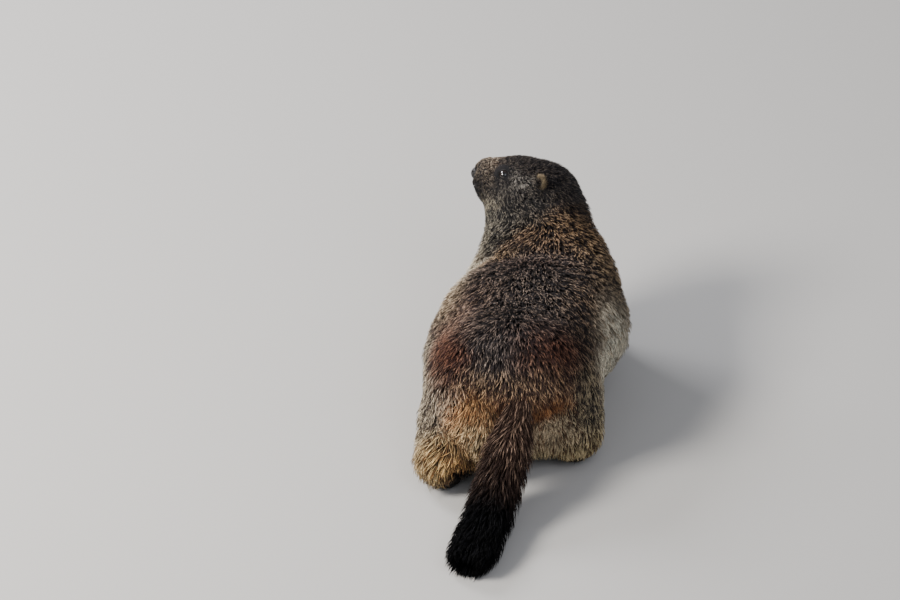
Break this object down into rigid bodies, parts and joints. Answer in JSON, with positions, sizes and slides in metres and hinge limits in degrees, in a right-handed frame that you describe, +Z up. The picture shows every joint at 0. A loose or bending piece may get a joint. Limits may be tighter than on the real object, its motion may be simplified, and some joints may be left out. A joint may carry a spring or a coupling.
{
  "type": "alpine marmot",
  "caption": "Still life-size model of an alpine marmot standing low on its feet, head raised and turned aside, bushy tail laid out behind.",
  "frame": {"origin": "on the floor, under the middle of the animal's bounding box", "axes": "+Y is the way the body faces, +X is the animal's right side, +Z is up"},
  "size_m": [0.2272, 0.5012, 0.2072],
  "materials": {
    "haunch_coat": "tawny fur, matt",
    "foot_coat": "short fur above, bare pads below",
    "claws": "dark horn, half matt",
    "body_coat": "dense grizzled fur, matt",
    "tail_coat": "long black-brown hair, matt",
    "eyes": "polished near-black glass eye",
    "ear_coat": "very short pale tan fur",
    "head_coat": "short dark fur, matt",
    "nose_pad": "moist dark skin"
  },
  "bodies": {
    "root": {"thigh_left": "haunch_coat", "shank_left": "haunch_coat", "hindfoot_left": "foot_coat", "hindfoot_left_claw_1": "claws", "hindfoot_left_claw_2": "claws", "hindfoot_left_claw_3": "claws", "hindfoot_left_claw_4": "claws", "hindfoot_left_claw_5": "claws", "upperarm_left": "body_coat", "forearm_left": "body_coat", "forefoot_left": "foot_coat", "forefoot_left_claw_1": "claws", "forefoot_left_claw_2": "claws", "forefoot_left_claw_3": "claws", "forefoot_left_claw_4": "claws", "thigh_right": "haunch_coat", "shank_right": "haunch_coat", "hindfoot_right": "foot_coat", "hindfoot_right_claw_1": "claws", "hindfoot_right_claw_2": "claws", "hindfoot_right_claw_3": "claws", "hindfoot_right_claw_4": "claws", "hindfoot_right_claw_5": "claws", "upperarm_right": "body_coat", "forearm_right": "body_coat", "forefoot_right": "foot_coat", "forefoot_right_claw_1": "claws", "forefoot_right_claw_2": "claws", "forefoot_right_claw_3": "claws", "forefoot_right_claw_4": "claws", "tail": "tail_coat", "torso": "body_coat", "neck": "body_coat", "eye_left": "eyes", "ear_left": "ear_coat", "eye_right": "eyes", "ear_right": "ear_coat", "head": "head_coat", "nose": "nose_pad"}
  },
  "joints": []
}
